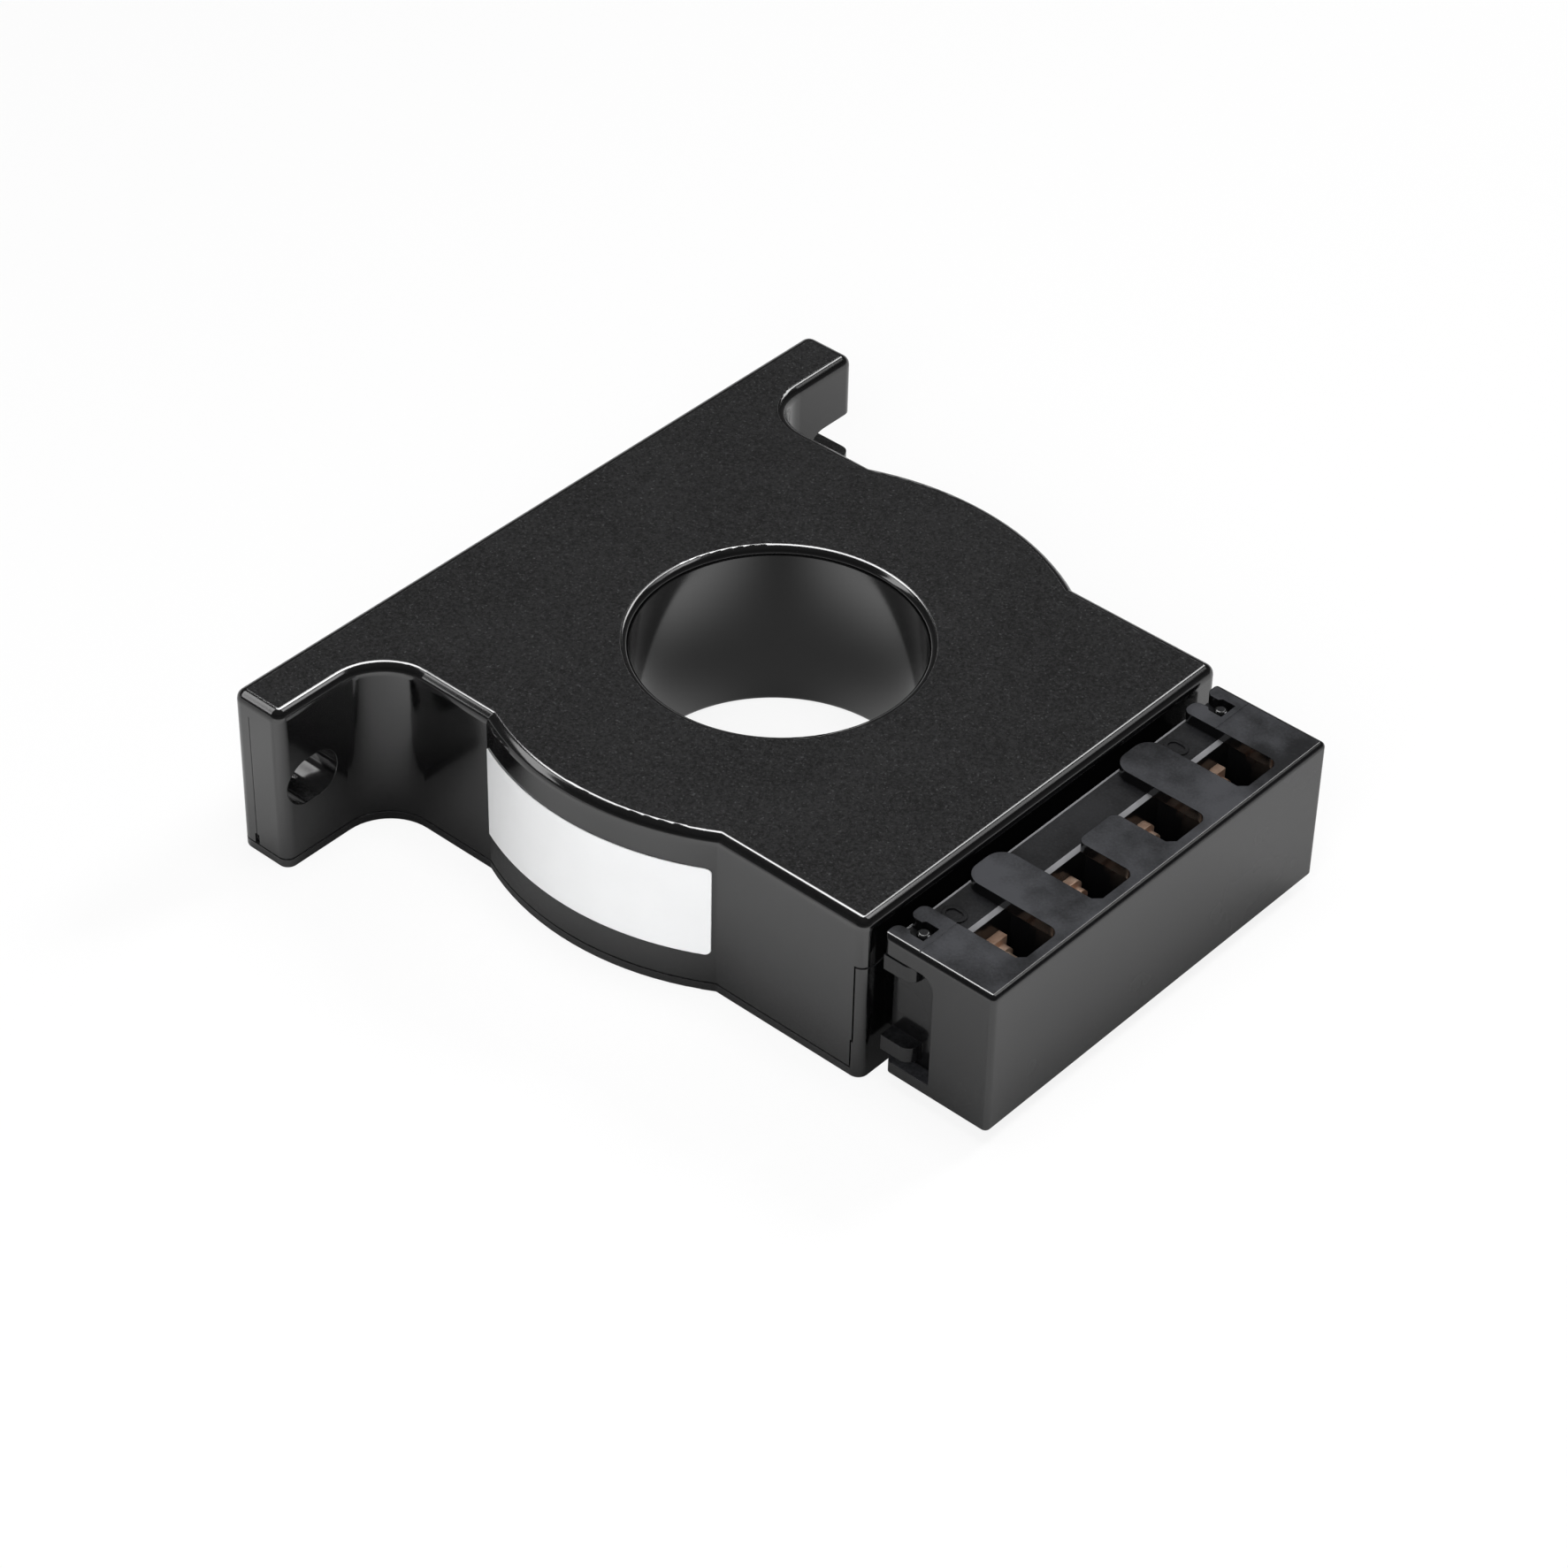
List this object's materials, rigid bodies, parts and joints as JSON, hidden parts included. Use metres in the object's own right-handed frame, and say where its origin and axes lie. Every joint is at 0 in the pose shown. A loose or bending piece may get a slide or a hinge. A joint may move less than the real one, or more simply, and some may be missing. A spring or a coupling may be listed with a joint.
{
  "type": "window current transformer",
  "caption": "Low flat current transformer with a round through hole for a cable or busbar, a slotted mounting foot and a covered row of screw terminals.",
  "frame": {"origin": "on the through hole's axis, level with the underside of the base cover", "axes": "+Z along the through hole, from the base cover to the top face; +X from the mounting foot to the terminals; +Y along the foot, towards the ear with the open slot"},
  "size_m": [0.0831, 0.0854, 0.0198],
  "materials": {
    "housing_plastic": "fine-grained satin",
    "cover_plastic": "satin",
    "block_plastic": "satin",
    "terminal_metal": "satin",
    "screw_metal": "polished",
    "nut_steel": "satin",
    "core_steel": "dull",
    "case_plastic": "matt",
    "copper_wire": "enamelled",
    "tape": "satin",
    "lead_insulation": "satin",
    "label": "satin"
  },
  "bodies": {
    "housing": {"housing_shell": "housing_plastic", "base_cover": "housing_plastic", "ring_core": "core_steel", "core_case_lower": "case_plastic", "core_case_upper": "case_plastic", "secondary_winding": "copper_wire", "winding_tape": "tape", "terminal_block": "block_plastic", "terminal_plate_1": "terminal_metal", "terminal_plate_2": "terminal_metal", "terminal_plate_3": "terminal_metal", "terminal_plate_4": "terminal_metal", "terminal_nut_1": "nut_steel", "terminal_nut_2": "nut_steel", "terminal_nut_3": "nut_steel", "terminal_nut_4": "nut_steel", "lead_wire_1": "lead_insulation", "lead_wire_2": "lead_insulation", "lead_wire_3": "lead_insulation", "lead_wire_4": "lead_insulation", "label": "label"},
    "cover": {"terminal_cover": "cover_plastic"},
    "clamp_1": {"clamp_washer_1": "terminal_metal"},
    "screw_1": {"terminal_screw_1": "screw_metal"},
    "clamp_2": {"clamp_washer_2": "terminal_metal"},
    "screw_2": {"terminal_screw_2": "screw_metal"},
    "clamp_3": {"clamp_washer_3": "terminal_metal"},
    "screw_3": {"terminal_screw_3": "screw_metal"},
    "clamp_4": {"clamp_washer_4": "terminal_metal"},
    "screw_4": {"terminal_screw_4": "screw_metal"}
  },
  "joints": [
    {"name": "cover_pull", "type": "slide", "parent": "housing", "child": "cover", "axis": [1, 0, 0], "range_m": [0, 0.018]},
    {"name": "clamp_slide_1", "type": "slide", "parent": "housing", "child": "clamp_1", "axis": [1, 0, 0], "range_m": [0, 0.002]},
    {"name": "screw_turn_1", "type": "hinge", "parent": "clamp_1", "child": "screw_1", "pos_m": [0.0424, -0.01686, 0.01132], "axis": [1, 0, 0], "range_deg": [0, 1440]},
    {"name": "clamp_slide_2", "type": "slide", "parent": "housing", "child": "clamp_2", "axis": [1, 0, 0], "range_m": [0, 0.002]},
    {"name": "screw_turn_2", "type": "hinge", "parent": "clamp_2", "child": "screw_2", "pos_m": [0.0424, -0.00562, 0.01132], "axis": [1, 0, 0], "range_deg": [0, 1440]},
    {"name": "clamp_slide_3", "type": "slide", "parent": "housing", "child": "clamp_3", "axis": [1, 0, 0], "range_m": [0, 0.002]},
    {"name": "screw_turn_3", "type": "hinge", "parent": "clamp_3", "child": "screw_3", "pos_m": [0.0424, 0.00562, 0.01132], "axis": [1, 0, 0], "range_deg": [0, 1440]},
    {"name": "clamp_slide_4", "type": "slide", "parent": "housing", "child": "clamp_4", "axis": [1, 0, 0], "range_m": [0, 0.002]},
    {"name": "screw_turn_4", "type": "hinge", "parent": "clamp_4", "child": "screw_4", "pos_m": [0.0424, 0.01686, 0.01132], "axis": [1, 0, 0], "range_deg": [0, 1440]}
  ],
  "couplings": [
    {"joint": "screw_turn_1", "follows": "clamp_slide_1", "rad_per_m": 12566},
    {"joint": "screw_turn_2", "follows": "clamp_slide_2", "rad_per_m": 12566},
    {"joint": "screw_turn_3", "follows": "clamp_slide_3", "rad_per_m": 12566},
    {"joint": "screw_turn_4", "follows": "clamp_slide_4", "rad_per_m": 12566}
  ]
}
